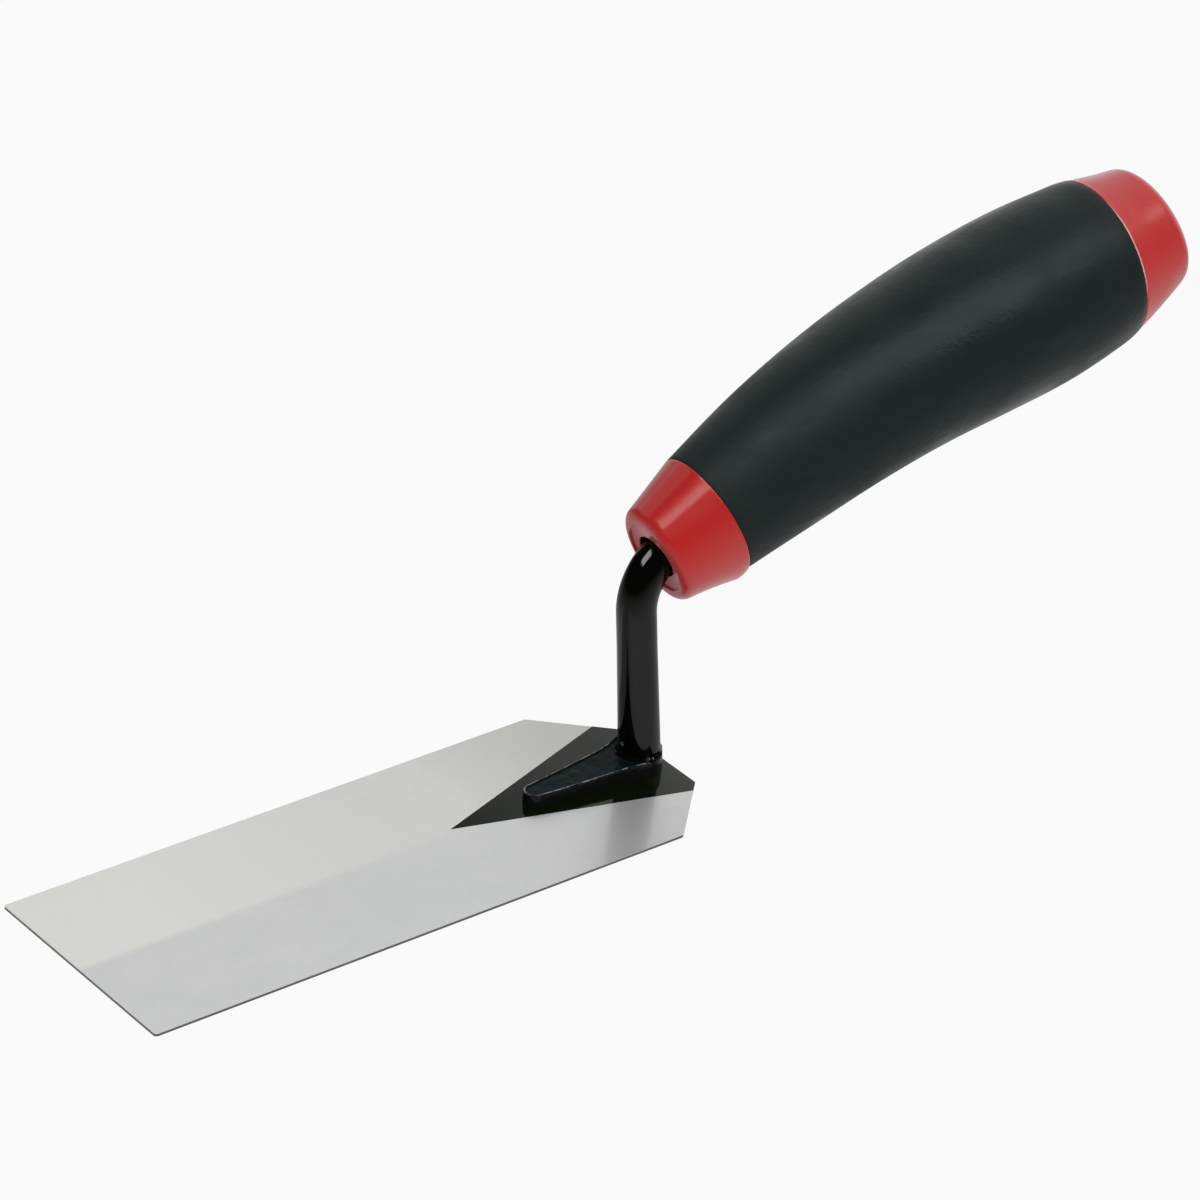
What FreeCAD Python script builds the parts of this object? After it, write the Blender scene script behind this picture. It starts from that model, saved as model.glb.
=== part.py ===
"""Margin trowel: a flat spring steel blade, a welded foot and bent shank, and a two-colour moulded handle.

Frame, in millimetres: +X runs from the blade's front edge back to the pommel, +Y across the blade,
+Z up from the blade. The origin is the centre of the blade's flat underside.
Each piece is one STEP file in parts/, named after its node.
"""
import FreeCAD, Part

import math
import os

Vector = FreeCAD.Vector

# Blade: a flat plate with a square working edge in front and a heel cut in at both sides.
BLADE_LENGTH = 137.0
BLADE_WIDTH = 50.8
BLADE_THICKNESS = 0.6
HEEL_LENGTH = 14.0
HEEL_EDGE_WIDTH = 23.2
BLADE_CORNER_RADIUS = 0.8
FRONT_X = -BLADE_LENGTH / 2
BACK_X = BLADE_LENGTH / 2

# Foot: a forged wedge on the heel, narrow and low at its nose, wide and high round the shank.
# Its top slopes up to a level seat under the shank.
FOOT_NOSE_X = 35.2
FOOT_NOSE_RADIUS = 2.4
FOOT_FLARE_X = 55.4
FOOT_FLARE_HALF_WIDTH = 4.3
FOOT_FLARE_BOW_BACK = 0.4
FOOT_FLARE_BOW_IN = 0.15
FOOT_EAR_X = 62.2
FOOT_EAR_HALF_WIDTH = 6.0
FOOT_BACK_X = 67.8
FOOT_SEAT_X = 58.4
FOOT_NOSE_HEIGHT = 2.7
FOOT_BACK_HEIGHT = 3.7
FOOT_RIM_WIDTH = 0.55
FOOT_RIM_HEIGHT = 0.3

# Weld nuggets that join the foot to the blade.
NUGGET_X = (42.5, 50.0, 57.5)
NUGGET_RADIUS = 1.8
NUGGET_DEPTH_IN_BLADE = 0.3
NUGGET_DEPTH_IN_FOOT = 0.5

# Shank: a round rod that leans forward, bends back and runs into the handle as a tang.
SHANK_RADIUS = 4.0
SHANK_BASE_RADIUS = 4.25
SHANK_BASE_X = 63.4
SHANK_LEAN = math.radians(5.5)
SHANK_TAPER_LENGTH = 24.0
BEND_RADIUS = 12.5
TANG_LENGTH = 62.0
TANG_POINT_LENGTH = 5.0
TANG_POINT_RADIUS = 2.2
BARB_COUNT = 5
BARB_PITCH = 6.0
BARB_DEPTH = 0.6
BARB_WIDTH = 2.0

# Weld bead round the shank's lower end.
BEAD_RADIUS = 5.1
BEAD_HEIGHT = 1.5

# Handle: its centre line starts at the collar's face and follows four directions at equal steps.
FACE_X = 63.85
FACE_Z = 47.2
SPINE_LENGTH = 132.2
SPINE_ANGLES = tuple(math.radians(a) for a in (23.5, 21.0, 10.4, 23.1))
SPINE_STEP = 0.5
COLLAR_LENGTH = 14.0
POMMEL_START = 116.4

# The core's edges stand this far above the grip at both joints.
EDGE_STEP = 0.25

# Oval sections across the handle: distance along the centre line, half width, half height.
COLLAR_SECTIONS = ((0.0, 9.2, 11.6), (COLLAR_LENGTH, 11.8 + EDGE_STEP, 14.2 + EDGE_STEP))
GRIP_SECTIONS = (
    (COLLAR_LENGTH, 11.8, 14.2),
    (31.0, 14.0, 15.8),
    (48.0, 15.7, 16.7),
    (65.0, 17.2, 17.4),
    (82.0, 17.8, 18.7),
    (99.0, 17.5, 19.4),
    (POMMEL_START, 15.9, 18.4),
)
POMMEL_SECTIONS = ((POMMEL_START, 15.9 + EDGE_STEP, 18.4 + EDGE_STEP), (SPINE_LENGTH, 11.4, 13.9))
COLLAR_EDGE_RADIUS = 2.0
POMMEL_EDGE_RADIUS = 4.0
GRIP_THICKNESS = 3.0

# Front face of the collar: a shallow oval recess, and a clearance hole round the shank.
RECESS_HALF_WIDTH = 6.9
RECESS_HALF_HEIGHT = 8.2
RECESS_DEPTH = 0.7
MOUTH_RADIUS = 5.0
MOUTH_DEPTH = 6.0

# A length well past every face that a cutting solid has to clear.
CLEAR = 40.0


def line(start, end):
    return Part.LineSegment(start, end).toShape()


def arc(start, middle, end):
    return Part.Arc(start, middle, end).toShape()


def lean_direction():
    """Unit vector up the leaning part of the shank."""
    return Vector(-math.sin(SHANK_LEAN), 0, math.cos(SHANK_LEAN))


def tang_direction():
    """Unit vector from the collar's face into the handle."""
    return Vector(math.cos(SPINE_ANGLES[0]), 0, math.sin(SPINE_ANGLES[0]))


def blade_outline():
    """Closed wire round the blade, on its underside, without the corner rounding."""
    half = BLADE_WIDTH / 2
    heel = HEEL_EDGE_WIDTH / 2
    shoulder = BACK_X - HEEL_LENGTH
    corners = [
        Vector(FRONT_X, -half, 0),
        Vector(shoulder, -half, 0),
        Vector(BACK_X, -heel, 0),
        Vector(BACK_X, heel, 0),
        Vector(shoulder, half, 0),
        Vector(FRONT_X, half, 0),
    ]
    return Part.makePolygon(corners + corners[:1])


def upright_edges(shape):
    """The edges of a plate that run along Z, which are its corners in plan."""
    found = []
    for edge in shape.Edges:
        direction = edge.Vertexes[-1].Point - edge.Vertexes[0].Point
        if abs(direction.z) > BLADE_THICKNESS / 2:
            found.append(edge)
    return found


def make_blade(nuggets):
    """The plate with its corners rounded, apart from the two sharp ones on its back edge."""
    plate = Part.Face(blade_outline()).extrude(Vector(0, 0, BLADE_THICKNESS))
    rounded = [edge for edge in upright_edges(plate) if edge.CenterOfMass.x < BACK_X - HEEL_LENGTH / 2]
    plate = plate.makeFillet(BLADE_CORNER_RADIUS, rounded)
    return plate.cut(nuggets)


def foot_outline():
    """Closed wire round the foot, on the blade's top face: nose, sides, flared ears and round back."""
    z = BLADE_THICKNESS
    centre_x = FOOT_NOSE_X + FOOT_NOSE_RADIUS
    flare_run = FOOT_FLARE_X - centre_x
    # The sides leave the nose's circle as tangents and pass through the start of the flare.
    reach = math.hypot(flare_run, FOOT_FLARE_HALF_WIDTH)
    side = math.asin(FOOT_NOSE_RADIUS / reach) - math.atan2(FOOT_FLARE_HALF_WIDTH, flare_run)
    tangent = Vector(math.sin(side), math.cos(side), 0) * FOOT_NOSE_RADIUS
    # The flare's curve bows back and in from the middle of its chord.
    flare_middle_x = (FOOT_FLARE_X + FOOT_EAR_X) / 2 + FOOT_FLARE_BOW_BACK
    flare_middle_y = (FOOT_FLARE_HALF_WIDTH + FOOT_EAR_HALF_WIDTH) / 2 - FOOT_FLARE_BOW_IN

    def point(x, y):
        return Vector(x, y, z)

    upper = point(centre_x + tangent.x, tangent.y)
    lower = point(centre_x + tangent.x, -tangent.y)
    flare = point(FOOT_FLARE_X, FOOT_FLARE_HALF_WIDTH)
    flare_low = point(FOOT_FLARE_X, -FOOT_FLARE_HALF_WIDTH)
    ear = point(FOOT_EAR_X, FOOT_EAR_HALF_WIDTH)
    ear_low = point(FOOT_EAR_X, -FOOT_EAR_HALF_WIDTH)
    return Part.Wire([
        arc(lower, point(FOOT_NOSE_X, 0), upper),
        line(upper, flare),
        arc(flare, point(flare_middle_x, flare_middle_y), ear),
        arc(ear, point(FOOT_BACK_X, 0), ear_low),
        arc(ear_low, point(flare_middle_x, -flare_middle_y), flare_low),
        line(flare_low, lower),
    ])


def above_foot_top(drop):
    """A solid that fills the space over the foot's top, lowered by drop: a slope, then a level seat."""
    rise = FOOT_BACK_HEIGHT - FOOT_NOSE_HEIGHT
    slope = rise / (FOOT_SEAT_X - FOOT_NOSE_X)
    back_z = BLADE_THICKNESS + FOOT_BACK_HEIGHT - drop
    near_x = FOOT_NOSE_X - CLEAR
    far_x = FOOT_SEAT_X + CLEAR
    low_points = [
        Vector(near_x, -CLEAR, back_z - slope * (FOOT_SEAT_X - near_x)),
        Vector(FOOT_SEAT_X, -CLEAR, back_z),
        Vector(far_x, -CLEAR, back_z),
    ]
    top_points = [Vector(far_x, -CLEAR, CLEAR), Vector(near_x, -CLEAR, CLEAR)]
    side = Part.makePolygon(low_points + top_points + low_points[:1])
    return Part.Face(side).extrude(Vector(0, 2 * CLEAR, 0))


def make_foot(nuggets):
    outline = foot_outline()
    body = Part.Face(outline).extrude(Vector(0, 0, 2 * FOOT_BACK_HEIGHT))
    body = body.cut(above_foot_top(0))
    inner = Part.Face(outline.makeOffset2D(-FOOT_RIM_WIDTH))
    pocket = inner.extrude(Vector(0, 0, 2 * FOOT_BACK_HEIGHT))
    pocket = pocket.common(above_foot_top(FOOT_RIM_HEIGHT))
    return body.cut(pocket).cut(nuggets)


def make_nuggets():
    low_z = BLADE_THICKNESS - NUGGET_DEPTH_IN_BLADE
    height = NUGGET_DEPTH_IN_BLADE + NUGGET_DEPTH_IN_FOOT
    nuggets = [Part.makeCylinder(NUGGET_RADIUS, height, Vector(x, 0, low_z)) for x in NUGGET_X]
    return Part.makeCompound(nuggets)


def shank_path():
    """Where the shank's base, bend and tang lie: base point, bend start, bend axis point, bend angle."""
    up = lean_direction()
    back = tang_direction()
    base = Vector(SHANK_BASE_X, 0, BLADE_THICKNESS + FOOT_BACK_HEIGHT - FOOT_RIM_HEIGHT)
    face = Vector(FACE_X, 0, FACE_Z)
    # The two straight runs meet at a corner, which the bend rounds off.
    across = face - base
    cross = up.x * back.z - up.z * back.x
    to_corner = (across.x * back.z - across.z * back.x) / cross
    corner = base + up * to_corner
    bend_angle = up.getAngle(back)
    setback = BEND_RADIUS * math.tan(bend_angle / 2)
    bend_start = corner - up * setback
    bend_end = corner + back * setback
    inward = Vector(up.z, 0, -up.x)
    return base, bend_start, bend_end, bend_start + inward * BEND_RADIUS, bend_angle


def barb_groove(centre, direction):
    """A ring with a V section, which leaves one barb on the tang."""
    narrow = SHANK_RADIUS - BARB_DEPTH
    outer = SHANK_RADIUS + BARB_DEPTH
    front = centre - direction * BARB_WIDTH
    ring = Part.makeCylinder(outer, BARB_WIDTH, front, direction)
    return ring.cut(Part.makeCone(SHANK_RADIUS, narrow, BARB_WIDTH, front, direction))


def make_tang(start, direction):
    end = Vector(FACE_X, 0, FACE_Z) + direction * TANG_LENGTH
    rod_length = (end - start).Length - TANG_POINT_LENGTH
    rod = Part.makeCylinder(SHANK_RADIUS, rod_length, start, direction)
    point_start = start + direction * rod_length
    point = Part.makeCone(SHANK_RADIUS, TANG_POINT_RADIUS, TANG_POINT_LENGTH, point_start, direction)
    tang = rod.fuse(point)
    for i in range(BARB_COUNT):
        tang = tang.cut(barb_groove(point_start - direction * (i * BARB_PITCH), direction))
    return tang


def make_shank():
    base, bend_start, bend_end, bend_axis, bend_angle = shank_path()
    up = lean_direction()
    # The foot of the taper starts below the joint, and is cut off level with the foot's web.
    root = base - up * SHANK_RADIUS
    taper = Part.makeCone(
        SHANK_BASE_RADIUS, SHANK_RADIUS, SHANK_TAPER_LENGTH + SHANK_RADIUS, root, up
    )
    straight_start = base + up * SHANK_TAPER_LENGTH
    straight_length = (bend_start - straight_start).Length
    straight = Part.makeCylinder(SHANK_RADIUS, straight_length, straight_start, up)
    disc = Part.Face(Part.Wire(Part.Circle(bend_start, up, SHANK_RADIUS).toShape()))
    bend = disc.revolve(bend_axis, Vector(0, 1, 0), math.degrees(bend_angle))
    tang = make_tang(bend_end, tang_direction())
    shank = taper.fuse([straight, bend, tang]).removeSplitter()
    below_web = Part.makeBox(
        2 * CLEAR, 2 * CLEAR, CLEAR, Vector(SHANK_BASE_X - CLEAR, -CLEAR, base.z - CLEAR)
    )
    return shank.cut(below_web)


def make_bead(foot, shank):
    """The weld round the shank's base, kept inside the foot's outline."""
    up = lean_direction()
    base = shank_path()[0]
    cone = Part.makeCone(BEAD_RADIUS, SHANK_BASE_RADIUS, BEAD_HEIGHT, base, up)
    skirt = Part.makeCylinder(BEAD_RADIUS, BEAD_HEIGHT, base - up * BEAD_HEIGHT, up)
    within = Part.Face(foot_outline()).extrude(Vector(0, 0, CLEAR))
    blank = cone.fuse(skirt).common(within).cut(shank)
    above_web = Part.makeBox(2 * CLEAR, 2 * CLEAR, CLEAR, Vector(base.x - CLEAR, -CLEAR, base.z))
    return blank.common(above_web).cut(foot)


def spine_angle(distance):
    """Direction of the handle's centre line: the cubic through the four driving angles."""
    last = len(SPINE_ANGLES) - 1
    t = last * distance / SPINE_LENGTH
    total = 0.0
    for i, angle in enumerate(SPINE_ANGLES):
        weight = 1.0
        for j in range(last + 1):
            if j != i:
                weight *= (t - j) / (i - j)
        total += weight * angle
    return total


def spine_point(distance):
    """Point on the handle's centre line, found by walking along it in small steps."""
    steps = max(1, math.ceil(distance / SPINE_STEP))
    length = distance / steps
    x = FACE_X
    z = FACE_Z
    for i in range(steps):
        angle = spine_angle((i + 0.5) * length)
        x += length * math.cos(angle)
        z += length * math.sin(angle)
    return Vector(x, 0, z)


def oval(distance, half_width, half_height):
    """An upright oval wire square to the handle's centre line."""
    centre = spine_point(distance)
    angle = spine_angle(distance)
    top = centre + Vector(-math.sin(angle), 0, math.cos(angle)) * half_height
    side = centre + Vector(0, half_width, 0)
    return Part.Wire(Part.Ellipse(top, side, centre).toShape())


def loft(sections, inset=0.0, straight=False):
    """A solid through oval sections, each drawn in by inset."""
    ovals = [oval(s, half_width - inset, half_height - inset) for s, half_width, half_height in sections]
    return Part.makeLoft(ovals, True, straight)


def round_end(shape, distance, radius):
    """Rounds the rim of the flat end that lies at a distance along the centre line."""
    centre = spine_point(distance)
    rim = min(shape.Edges, key=lambda e: (e.CenterOfMass - centre).Length if e.isClosed() else CLEAR)
    return shape.makeFillet(radius, [rim])


def make_spindle():
    """The part of the core under the grip."""
    return loft(GRIP_SECTIONS, inset=GRIP_THICKNESS)


def make_core(shank):
    collar = round_end(loft(COLLAR_SECTIONS, straight=True), 0.0, COLLAR_EDGE_RADIUS)
    pommel = round_end(loft(POMMEL_SECTIONS, straight=True), SPINE_LENGTH, POMMEL_EDGE_RADIUS)
    core = make_spindle().fuse([collar, pommel])
    back = tang_direction()
    face = Vector(FACE_X, 0, FACE_Z)
    recess_rim = oval(0.0, RECESS_HALF_WIDTH, RECESS_HALF_HEIGHT)
    recess = Part.Face(recess_rim).extrude(back * RECESS_DEPTH)
    mouth = Part.makeCylinder(MOUTH_RADIUS, MOUTH_DEPTH, face, back)
    return core.cut([recess, mouth]).cut(shank)


def make_grip():
    return loft(GRIP_SECTIONS).cut(make_spindle())


def main():
    nuggets = make_nuggets()
    foot = make_foot(nuggets)
    shank = make_shank()
    pieces = {
        "blade": make_blade(nuggets),
        "foot": foot,
        "foot_weld_nuggets": nuggets,
        "shank": shank,
        "shank_weld_bead": make_bead(foot, shank),
        "handle_core": make_core(shank),
        "grip_sleeve": make_grip(),
    }
    os.makedirs("parts", exist_ok=True)
    for name, shape in pieces.items():
        shape.exportStep(os.path.join("parts", name + ".step"))
        box = shape.BoundBox
        print(
            f"{name}: valid {shape.isValid()}, solids {len(shape.Solids)}, volume {shape.Volume:.1f} mm3,"
            f" X {box.XMin:.1f}..{box.XMax:.1f} Y {box.YMin:.1f}..{box.YMax:.1f}"
            f" Z {box.ZMin:.1f}..{box.ZMax:.1f}"
        )


main()
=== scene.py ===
"""Looks of the margin trowel: a detailed mesh and a procedural material for each piece.

Shapes are in millimetres in the CAD frame, whose origin is the middle of the blade's underside:
+X runs back to the pommel, +Y across the blade and +Z up. add_piece turns them into metres.
Materials, floor, lights and camera are in metres in the same frame.
"""
import math

import bmesh
import bpy
from mathutils import Matrix, Vector, noise


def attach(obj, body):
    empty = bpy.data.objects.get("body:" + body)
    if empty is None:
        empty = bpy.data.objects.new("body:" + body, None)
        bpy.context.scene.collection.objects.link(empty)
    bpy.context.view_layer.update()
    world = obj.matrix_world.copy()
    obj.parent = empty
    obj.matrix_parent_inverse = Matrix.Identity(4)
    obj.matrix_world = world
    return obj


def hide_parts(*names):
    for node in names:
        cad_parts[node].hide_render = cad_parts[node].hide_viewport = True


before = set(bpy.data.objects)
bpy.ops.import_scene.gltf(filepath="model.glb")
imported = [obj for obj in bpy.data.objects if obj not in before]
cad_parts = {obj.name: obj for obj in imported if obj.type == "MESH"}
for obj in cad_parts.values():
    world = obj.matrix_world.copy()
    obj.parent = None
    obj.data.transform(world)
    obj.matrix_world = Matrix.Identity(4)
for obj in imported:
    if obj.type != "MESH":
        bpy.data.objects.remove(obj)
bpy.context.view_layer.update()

MM = 0.001

# Blade: a flat plate with its heel cut in at both sides.
BLADE_LENGTH = 137.0
BLADE_WIDTH = 50.8
BLADE_THICKNESS = 0.6
HEEL_LENGTH = 14.0
HEEL_EDGE_WIDTH = 23.2
BLADE_CORNER_RADIUS = 0.8
HEEL_CORNER_RADIUS = 0.35
BLADE_BEVEL = 0.07
FRONT_X = -BLADE_LENGTH / 2
BACK_X = BLADE_LENGTH / 2

# Lacquer on the heel: a V that reaches forward from the heel's side edges to a tip. FILM_BOTTOM is
# how high above the underside it ends on the blade's edge.
FILM_THICKNESS = 0.035
FILM_BOTTOM = 0.12
FILM_TIP = (17.8, 0.8)
FILM_FAR_X = 64.2
FILM_NEAR_X = 66.3

# Foot: a forged wedge on the heel with a raised rim round a sunken web.
FOOT_NOSE_X = 35.2
FOOT_NOSE_RADIUS = 2.4
FOOT_FLARE_X = 55.4
FOOT_FLARE_HALF_WIDTH = 4.3
FOOT_FLARE_BOW_BACK = 0.4
FOOT_FLARE_BOW_IN = 0.15
FOOT_EAR_X = 62.2
FOOT_EAR_HALF_WIDTH = 6.0
FOOT_BACK_X = 67.8
FOOT_NOSE_TOP = 3.3
FOOT_BACK_TOP = 4.3

# Shank: a rod that leans forward, bends back and runs into the handle as a barbed tang.
SHANK_RADIUS = 4.0
SHANK_BASE_RADIUS = 4.25
SHANK_BASE_X = 63.4
SHANK_BASE_Z = 4.0
SHANK_ROOT_DEPTH = 1.2
SHANK_LEAN = math.radians(5.5)
SHANK_TAPER_LENGTH = 24.0
BEND_RADIUS = 12.5
TANG_LENGTH = 62.0
TANG_POINT_LENGTH = 5.0
TANG_POINT_RADIUS = 2.2
BARB_COUNT = 5
BARB_PITCH = 6.0
BARB_DEPTH = 0.6
BARB_WIDTH = 2.0

# Weld bead round the shank's lower end. BEAD_OVERLAP is how far it goes into the shank.
BEAD_REACH = 0.7
BEAD_HEIGHT = 0.9
BEAD_OVERLAP = 0.15

# Weld spatter beside the bead, left bare grey so that it also stands in for the bead's glints as
# painted highlights: place and radius of each drop.
SPATTER_GLINTS = (
    (58.8, -0.2, 6.7, 0.45),
    (61.8, -4.6, 4.4, 0.52),
    (62.8, -4.9, 4.3, 0.42),
)

# Handle: its centre line starts at the collar's face and follows four evenly spaced directions.
FACE_X = 63.85
FACE_Z = 47.2
SPINE_LENGTH = 132.2
SPINE_ANGLES = tuple(math.radians(a) for a in (23.5, 21.0, 10.4, 23.1))
SPINE_STEP = 0.5
COLLAR_LENGTH = 14.0
POMMEL_START = 116.4
OVAL_POINTS = 128

# The collar's and the pommel's flat ends: half width, half height.
COLLAR_FACE = (8.75, 11.2)
POMMEL_END = (11.8, 13.7)

# Oval sections across the grip: distance along the centre line, half width, half height.
GRIP_SECTIONS = (
    (COLLAR_LENGTH, 11.8, 14.2),
    (31.0, 14.0, 15.8),
    (48.0, 15.7, 16.7),
    (65.0, 17.2, 17.4),
    (82.0, 17.8, 18.7),
    (99.0, 17.5, 19.4),
    (POMMEL_START, 15.9, 18.4),
)
GRIP_THICKNESS = 3.0
GRIP_END_LENGTH = 3.0
GRIP_END_DEPTH = 0.30
GRIP_GAP = 0.04

# Red ends. A step is how far an edge stands above the grip's section at the joint: both lie below it.
# The sag is how far the collar's lower side hangs down there, and the tuck how far the pommel's is
# drawn in.
COLLAR_STEP = -0.02
COLLAR_SAG = 2.0
COLLAR_SAG_EDGE = 2.3
COLLAR_EDGE_RADIUS = 2.0
POMMEL_STEP = -0.28
POMMEL_TUCK = 0.45
POMMEL_TUCK_LENGTH = 5.0
POMMEL_EDGE_RADIUS = 3.8
JOINT_EDGE_RADIUS = 0.22

# Hole in the collar: an oval recess, a mouth that is wider than the rod, and the bore for the tang.
# The bore's faces, that many rows counted from the closed end, are painted black with the rod's lacquer
# as painted shade.
RECESS_HALF_WIDTH = 6.9
RECESS_HALF_HEIGHT = 8.2
RECESS_DEPTH = 0.45
RECESS_EDGE = 0.25
MOUTH_RADIUS = 4.75
MOUTH_DEPTH = 6.0
BORE_SHADE_ROWS = 4
BORE_CLEARANCE = 0.05
BORE_END_GAP = 0.2

# Stage, in metres. WALL_DIRECTION points from the trowel to the middle of the bright wall.
WALL_DIRECTION = (0.742, 0.520, 0.423)
FLOOR_REACH = 4.0
FLOOR_HEIGHT = -0.0003
FLOOR_GLOW = 0.970
PAPER_GLOW = 0.95

# Camera: its place and directions in metres, and its lens and sensor in millimetres.
CAMERA_PLACE = (-0.55467, -0.72683, 0.59373)
CAMERA_RIGHT = (0.7874670, -0.6138366, 0.0556816)
CAMERA_AHEAD = (0.5529316, 0.6636301, -0.5038469)
CAMERA_LENS = 170.7
CAMERA_SENSOR = 36.0


# ------------------------ mesh helpers


def add_piece(name, points, faces, material, node, sharp_angle=40.0):
    """Makes one smooth-shaded mesh from points in millimetres, and lets it stand for a CAD node."""
    mesh = bpy.data.meshes.new(name)
    mesh.from_pydata([Vector(p) * MM for p in points], [], faces)
    work = bmesh.new()
    work.from_mesh(mesh)
    bmesh.ops.remove_doubles(work, verts=work.verts, dist=1e-7)
    bmesh.ops.recalc_face_normals(work, faces=work.faces)
    work.to_mesh(mesh)
    work.free()
    mesh.shade_smooth()
    mesh.set_sharp_from_angle(angle=math.radians(sharp_angle))
    mesh.materials.append(material)
    piece = bpy.data.objects.new(name, mesh)
    bpy.context.scene.collection.objects.link(piece)
    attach(piece, "root")
    if node:
        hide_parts(node)
    return piece


def skin(rings, closed=False):
    """Points and faces of a surface through rings of equal count.

    A closed surface joins its last ring to its first.
    """
    count = len(rings[0])
    points = [p for ring in rings for p in ring]
    faces = []
    spans = len(rings) if closed else len(rings) - 1
    for i in range(spans):
        low = i * count
        high = ((i + 1) % len(rings)) * count
        for j in range(count):
            k = (j + 1) % count
            faces.append((low + j, low + k, high + k, high + j))
    return points, faces


def round_corner(before, corner, after, radius, steps):
    """Points along the arc that rounds a corner."""
    to_before = (before - corner).normalized()
    to_after = (after - corner).normalized()
    half_angle = to_before.angle(to_after) / 2
    centre = corner + (to_before + to_after).normalized() * (radius / math.sin(half_angle))
    setback = radius / math.tan(half_angle)
    start = (corner + to_before * setback - centre).normalized()
    end = (corner + to_after * setback - centre).normalized()
    return [centre + start.slerp(end, i / steps) * radius for i in range(steps + 1)]


def rounded_outline(corners):
    """A closed outline from (x, y, radius) corners. A corner of no radius stays a point."""
    steps = 8
    outline = []
    for i, (x, y, radius) in enumerate(corners):
        corner = Vector((x, y, 0))
        before = Vector((*corners[i - 1][:2], 0))
        after = Vector((*corners[(i + 1) % len(corners)][:2], 0))
        if radius:
            outline += round_corner(before, corner, after, radius, steps)
        else:
            outline.append(corner)
    return outline


def offset_loop(points, distance):
    """A counterclockwise loop moved outward, each point along the bisector of its two edges."""
    moved = []
    for i, point in enumerate(points):
        back = (point - points[i - 1]).normalized()
        ahead = (points[(i + 1) % len(points)] - point).normalized()
        outward = Vector((back.y + ahead.y, -back.x - ahead.x, 0))
        moved.append(point + outward * (2 * distance / outward.length_squared))
    return moved


def at_height(points, z):
    """The same outline at another height."""
    return [Vector((p.x, p.y, z)) for p in points]


def plate_rings(outline, bottom, top, bevel):
    """Rings of a flat plate with bevelled edges, from its underside to its top."""
    inner = offset_loop(outline, -bevel)
    return [
        at_height(inner, bottom),
        at_height(outline, bottom + bevel),
        at_height(outline, top - bevel),
        at_height(inner, top),
    ]


def capped_plate(outline, bottom, top, bevel):
    """Points and faces of a plate: its bevelled edge and two flat faces."""
    rings = plate_rings(outline, bottom, top, bevel)
    points, faces = skin(rings)
    count = len(outline)
    last = len(points) - count
    faces.append(tuple(range(count)))
    faces.append(tuple(range(last, last + count)))
    return points, faces


def arc_points(start, middle, end, spacing):
    """Points along the circle through three points in the plane, without the last one."""
    ax, ay = start
    bx, by = middle
    cx, cy = end
    d = 2 * (ax * (by - cy) + bx * (cy - ay) + cx * (ay - by))
    sa = ax * ax + ay * ay
    sb = bx * bx + by * by
    sc = cx * cx + cy * cy
    ux = (sa * (by - cy) + sb * (cy - ay) + sc * (ay - by)) / d
    uy = (sa * (cx - bx) + sb * (ax - cx) + sc * (bx - ax)) / d
    radius = math.hypot(ax - ux, ay - uy)
    first = math.atan2(ay - uy, ax - ux)
    turn = math.atan2(cy - uy, cx - ux) - first
    half = math.atan2(by - uy, bx - ux) - first
    turn %= 2 * math.pi
    if half % (2 * math.pi) > turn:
        turn -= 2 * math.pi
    steps = max(2, round(abs(turn) * radius / spacing))
    angles = [first + turn * i / steps for i in range(steps)]
    return [Vector((ux + radius * math.cos(a), uy + radius * math.sin(a), 0)) for a in angles]


def line_points(start, end, spacing):
    """Evenly spaced points along a line, without the last one."""
    a = Vector((*start, 0))
    b = Vector((*end, 0))
    steps = max(1, round((b - a).length / spacing))
    return [a.lerp(b, i / steps) for i in range(steps)]


def lumps(point, size, seed):
    """A smooth random value between about -1 and 1 that changes over the given size."""
    return noise.noise(Vector(point) / size + Vector((seed, seed * 1.7, seed * 0.3)))


# ------------------------ material helpers


def new_material(name):
    """An empty node material and its output node."""
    material = bpy.data.materials.new(name)
    material.use_nodes = True
    tree = material.node_tree
    tree.nodes.clear()
    return material, tree, tree.nodes.new("ShaderNodeOutputMaterial")


def add(tree, kind, settings=None, **inputs):
    """Adds a shader node. Each input is a value or another node's output.

    An input is named with _ for a space, or by i and its number.
    """
    node = tree.nodes.new("ShaderNode" + kind)
    for key, value in (settings or {}).items():
        setattr(node, key, value)
    for key, value in inputs.items():
        numbered = key[0] == "i" and key[1:].isdigit()
        socket = node.inputs[int(key[1:]) if numbered else key.replace("_", " ")]
        if isinstance(value, bpy.types.NodeSocket):
            tree.links.new(value, socket)
        else:
            socket.default_value = value
    return node


def place(tree, stretch=(1, 1, 1)):
    """Coordinates in the CAD frame in metres, scaled by stretch along each axis."""
    coords = add(tree, "TexCoord").outputs["Object"]
    return add(tree, "Mapping", Vector=coords, Scale=stretch).outputs["Vector"]


def along_axis(tree, vector, axis):
    """One coordinate of a vector, by its axis name."""
    return add(tree, "SeparateXYZ", Vector=vector).outputs[axis]


def surface_direction(tree):
    """The way the surface faces, before any bump."""
    return add(tree, "TexCoord").outputs["Normal"]


def alignment(tree, direction, target):
    """How far a direction points to a target direction: 1 if straight at it, 0 if square to it."""
    node = add(tree, "VectorMath", {"operation": "DOT_PRODUCT"}, i0=direction, i1=target)
    return node.outputs["Value"]


def pattern(tree, vector, scale, detail=4.0, roughness=0.55, distortion=0.0):
    """Smooth noise from 0 to 1. Scale is in cycles to the metre."""
    node = add(
        tree,
        "TexNoise",
        Vector=vector,
        Scale=scale,
        Detail=detail,
        Roughness=roughness,
        Distortion=distortion,
    )
    return node.outputs["Fac"]


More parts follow.
